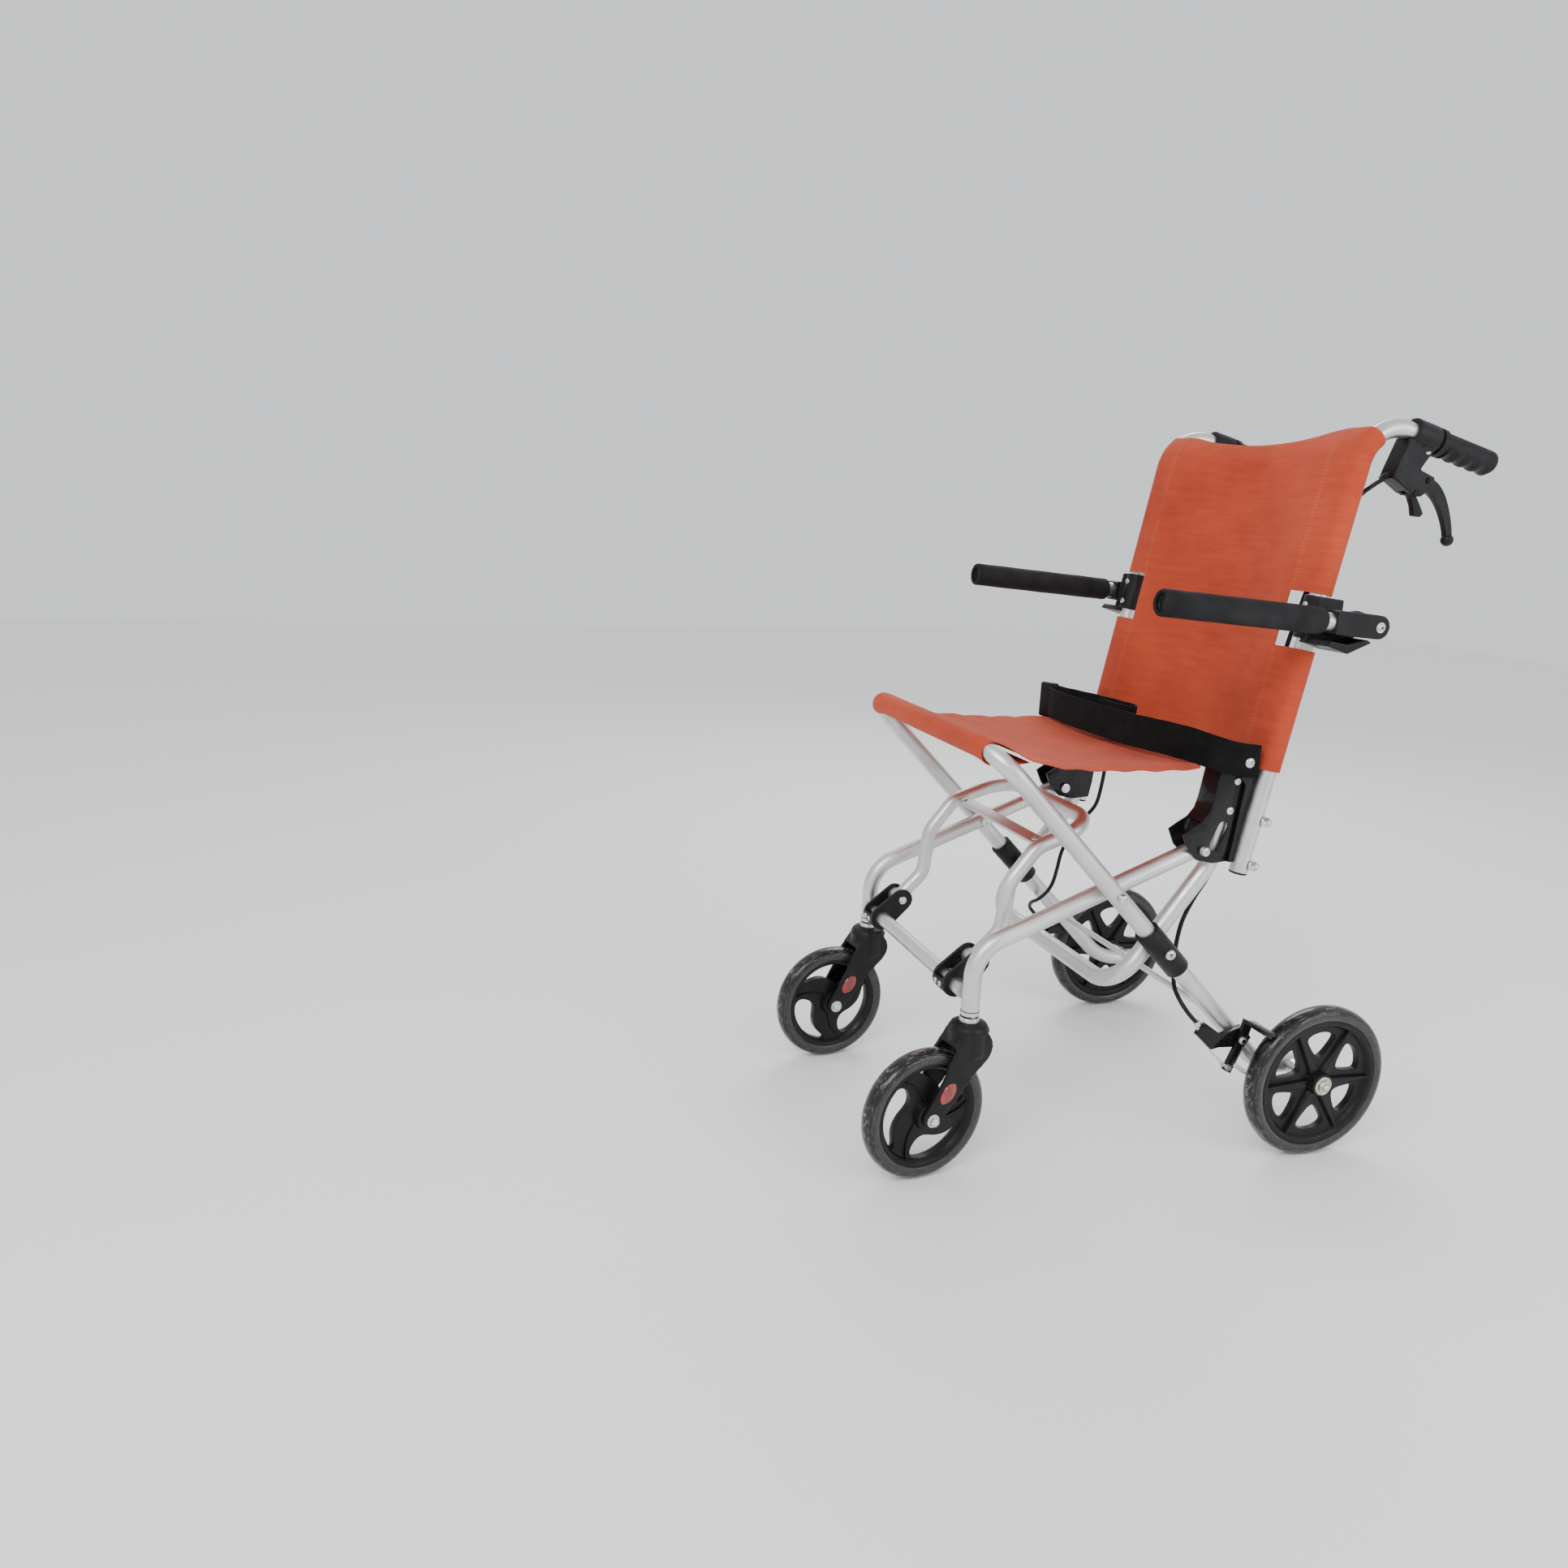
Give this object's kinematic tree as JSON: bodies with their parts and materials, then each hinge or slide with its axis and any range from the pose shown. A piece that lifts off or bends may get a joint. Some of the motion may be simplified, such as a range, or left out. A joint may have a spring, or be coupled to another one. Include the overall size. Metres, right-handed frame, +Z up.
{
  "type": "transport wheelchair",
  "caption": "Folding tube-frame transport wheelchair with swivel front casters, fixed rear wheels, flip-up armrests, fold-back footrest, fabric seat and hand-lever brakes.",
  "frame": {"origin": "on the floor, under the middle of the chair's overall length and width", "axes": "+X to the sitter's left, -Y towards the front casters, +Z up"},
  "size_m": [0.534, 0.7659, 0.9118],
  "materials": {
    "satin_aluminium": "satin drawn tube",
    "zinc": "zinc-plated",
    "black_plastic": "fine-textured moulding",
    "black_rim": "fine-textured moulding",
    "gloss_black": "glossy black coating on sheet steel",
    "foam": "closed-cell foam",
    "polyurethane_tyre": "smooth, half glossy",
    "orange_fabric": "plain-weave polyester",
    "black_webbing": "ribbed webbing",
    "cable_jacket": "smooth jacket"
  },
  "bodies": {
    "front_frame": {"front_leg_L": "satin_aluminium", "front_leg_R": "satin_aluminium", "front_cross_tube": "satin_aluminium", "footrest_hinge_L": "black_plastic", "footrest_hinge_R": "black_plastic"},
    "rear_frame": {"seat_frame_hoop": "satin_aluminium", "rear_cross_bar": "satin_aluminium", "rear_axle_L": "zinc", "rear_axle_R": "zinc", "brake_bracket_L": "black_plastic", "brake_bracket_R": "black_plastic", "seat_fabric": "orange_fabric", "cross_pivot_bolt_L": "zinc", "cross_pivot_bolt_R": "zinc"},
    "support_frame": {"support_hoop": "satin_aluminium", "side_bracket_L": "gloss_black", "side_bracket_R": "gloss_black", "leg_pivot_bolt_L": "zinc", "leg_pivot_bolt_R": "zinc", "lap_belt": "black_webbing"},
    "slide_sleeves": {"slide_sleeve_L": "black_plastic", "slide_sleeve_R": "black_plastic"},
    "back_frame": {"back_tube_L": "satin_aluminium", "back_tube_R": "satin_aluminium", "back_hinge_L": "gloss_black", "back_hinge_R": "gloss_black", "back_fabric": "orange_fabric", "grip_L": "black_plastic", "grip_R": "black_plastic", "lever_housing_L": "black_plastic", "lever_housing_R": "black_plastic", "armrest_bracket_L": "black_plastic", "armrest_bracket_R": "black_plastic", "brake_cable_L": "cable_jacket", "brake_cable_R": "cable_jacket"},
    "footrest": {"footrest_hoop": "satin_aluminium"},
    "armrest_L": {"armrest_tube_L": "satin_aluminium", "armrest_foam_L": "foam", "armrest_hinge_L": "black_plastic"},
    "caster_L": {"caster_fork_L": "black_plastic", "caster_axle_L": "zinc"},
    "caster_wheel_L": {"caster_rim_L": "black_rim", "caster_tyre_L": "polyurethane_tyre"},
    "rear_wheel_L": {"rear_rim_L": "black_rim", "rear_tyre_L": "polyurethane_tyre"},
    "brake_lever_L": {"brake_lever_L": "black_plastic"},
    "brake_arm_L": {"brake_arm_L": "black_plastic"},
    "parking_catch_L": {"parking_catch_L": "black_plastic"},
    "armrest_R": {"armrest_tube_R": "satin_aluminium", "armrest_foam_R": "foam", "armrest_hinge_R": "black_plastic"},
    "caster_R": {"caster_fork_R": "black_plastic", "caster_axle_R": "zinc"},
    "caster_wheel_R": {"caster_rim_R": "black_rim", "caster_tyre_R": "polyurethane_tyre"},
    "rear_wheel_R": {"rear_rim_R": "black_rim", "rear_tyre_R": "polyurethane_tyre"},
    "brake_lever_R": {"brake_lever_R": "black_plastic"},
    "brake_arm_R": {"brake_arm_R": "black_plastic"},
    "parking_catch_R": {"parking_catch_R": "black_plastic"}
  },
  "joints": [
    {"name": "frame_fold", "type": "hinge", "parent": "front_frame", "child": "rear_frame", "pos_m": [0, -0.0785, 0.345], "axis": [1, 0, 0], "range_deg": [0, 22.5], "deforming": ["seat_fabric"]},
    {"name": "support_fold", "type": "hinge", "parent": "front_frame", "child": "support_frame", "pos_m": [0, 0.04292, 0.39252], "axis": [1, 0, 0], "range_deg": [0, 45], "deforming": ["lap_belt"]},
    {"name": "sleeve_turn", "type": "hinge", "parent": "support_frame", "child": "slide_sleeves", "pos_m": [0, -0.00713, 0.27212], "axis": [1, 0, 0], "range_deg": [-22.5, 0]},
    {"name": "back_fold", "type": "hinge", "parent": "support_frame", "child": "back_frame", "pos_m": [0, 0.082, 0.5045], "axis": [1, 0, 0], "range_deg": [0, 68], "deforming": ["brake_cable_L", "brake_cable_R"]},
    {"name": "footrest_flip", "type": "hinge", "parent": "front_frame", "child": "footrest", "pos_m": [0, -0.225, 0.25], "axis": [1, 0, 0], "range_deg": [0, 145]},
    {"name": "armrest_L", "type": "hinge", "parent": "back_frame", "child": "armrest_L", "pos_m": [0.228, 0.2, 0.672], "axis": [-1, 0, 0], "range_deg": [0, 95]},
    {"name": "caster_swivel_L", "type": "hinge", "parent": "front_frame", "child": "caster_L", "pos_m": [0.167, -0.248, 0.205], "axis": [0, 0, 1], "continuous": true},
    {"name": "caster_spin_L", "type": "hinge", "parent": "caster_L", "child": "caster_wheel_L", "pos_m": [0.17563, -0.30394, 0.082], "axis": [0.9883, 0.1524, 0], "continuous": true},
    {"name": "wheel_spin_L", "type": "hinge", "parent": "rear_frame", "child": "rear_wheel_L", "pos_m": [0.24, 0.205, 0.1], "axis": [1, 0, 0], "continuous": true},
    {"name": "brake_lever_L", "type": "hinge", "parent": "back_frame", "child": "brake_lever_L", "pos_m": [0.187, 0.277, 0.841], "axis": [1, 0, 0], "range_deg": [0, 24], "stiffness_Nm_per_rad": 0.6, "springref_deg": -14.32},
    {"name": "brake_arm_L", "type": "hinge", "parent": "rear_frame", "child": "brake_arm_L", "pos_m": [0.213, 0.109, 0.152], "axis": [1, 0, 0], "range_deg": [-12, 0]},
    {"name": "parking_catch_L", "type": "hinge", "parent": "back_frame", "child": "parking_catch_L", "pos_m": [0.187, 0.262, 0.826], "axis": [1, 0, 0], "range_deg": [0, 25]},
    {"name": "armrest_R", "type": "hinge", "parent": "back_frame", "child": "armrest_R", "pos_m": [-0.228, 0.2, 0.672], "axis": [-1, 0, 0], "range_deg": [0, 95]},
    {"name": "caster_swivel_R", "type": "hinge", "parent": "front_frame", "child": "caster_R", "pos_m": [-0.167, -0.248, 0.205], "axis": [0, 0, 1], "continuous": true},
    {"name": "caster_spin_R", "type": "hinge", "parent": "caster_R", "child": "caster_wheel_R", "pos_m": [-0.16067, -0.30424, 0.082], "axis": [0.9937, 0.1118, 0], "continuous": true},
    {"name": "wheel_spin_R", "type": "hinge", "parent": "rear_frame", "child": "rear_wheel_R", "pos_m": [-0.24, 0.205, 0.1], "axis": [1, 0, 0], "continuous": true},
    {"name": "brake_lever_R", "type": "hinge", "parent": "back_frame", "child": "brake_lever_R", "pos_m": [-0.187, 0.277, 0.841], "axis": [1, 0, 0], "range_deg": [0, 24], "stiffness_Nm_per_rad": 0.6, "springref_deg": -14.32},
    {"name": "brake_arm_R", "type": "hinge", "parent": "rear_frame", "child": "brake_arm_R", "pos_m": [-0.213, 0.109, 0.152], "axis": [1, 0, 0], "range_deg": [-12, 0]},
    {"name": "parking_catch_R", "type": "hinge", "parent": "back_frame", "child": "parking_catch_R", "pos_m": [-0.187, 0.262, 0.826], "axis": [1, 0, 0], "range_deg": [0, 25]}
  ],
  "couplings": [
    {"joint": "support_fold", "follows": "frame_fold", "ratio": 2},
    {"joint": "sleeve_turn", "follows": "frame_fold", "ratio": -1},
    {"joint": "brake_arm_L", "follows": "brake_lever_L", "ratio": -0.5},
    {"joint": "brake_arm_R", "follows": "brake_lever_R", "ratio": -0.5}
  ]
}
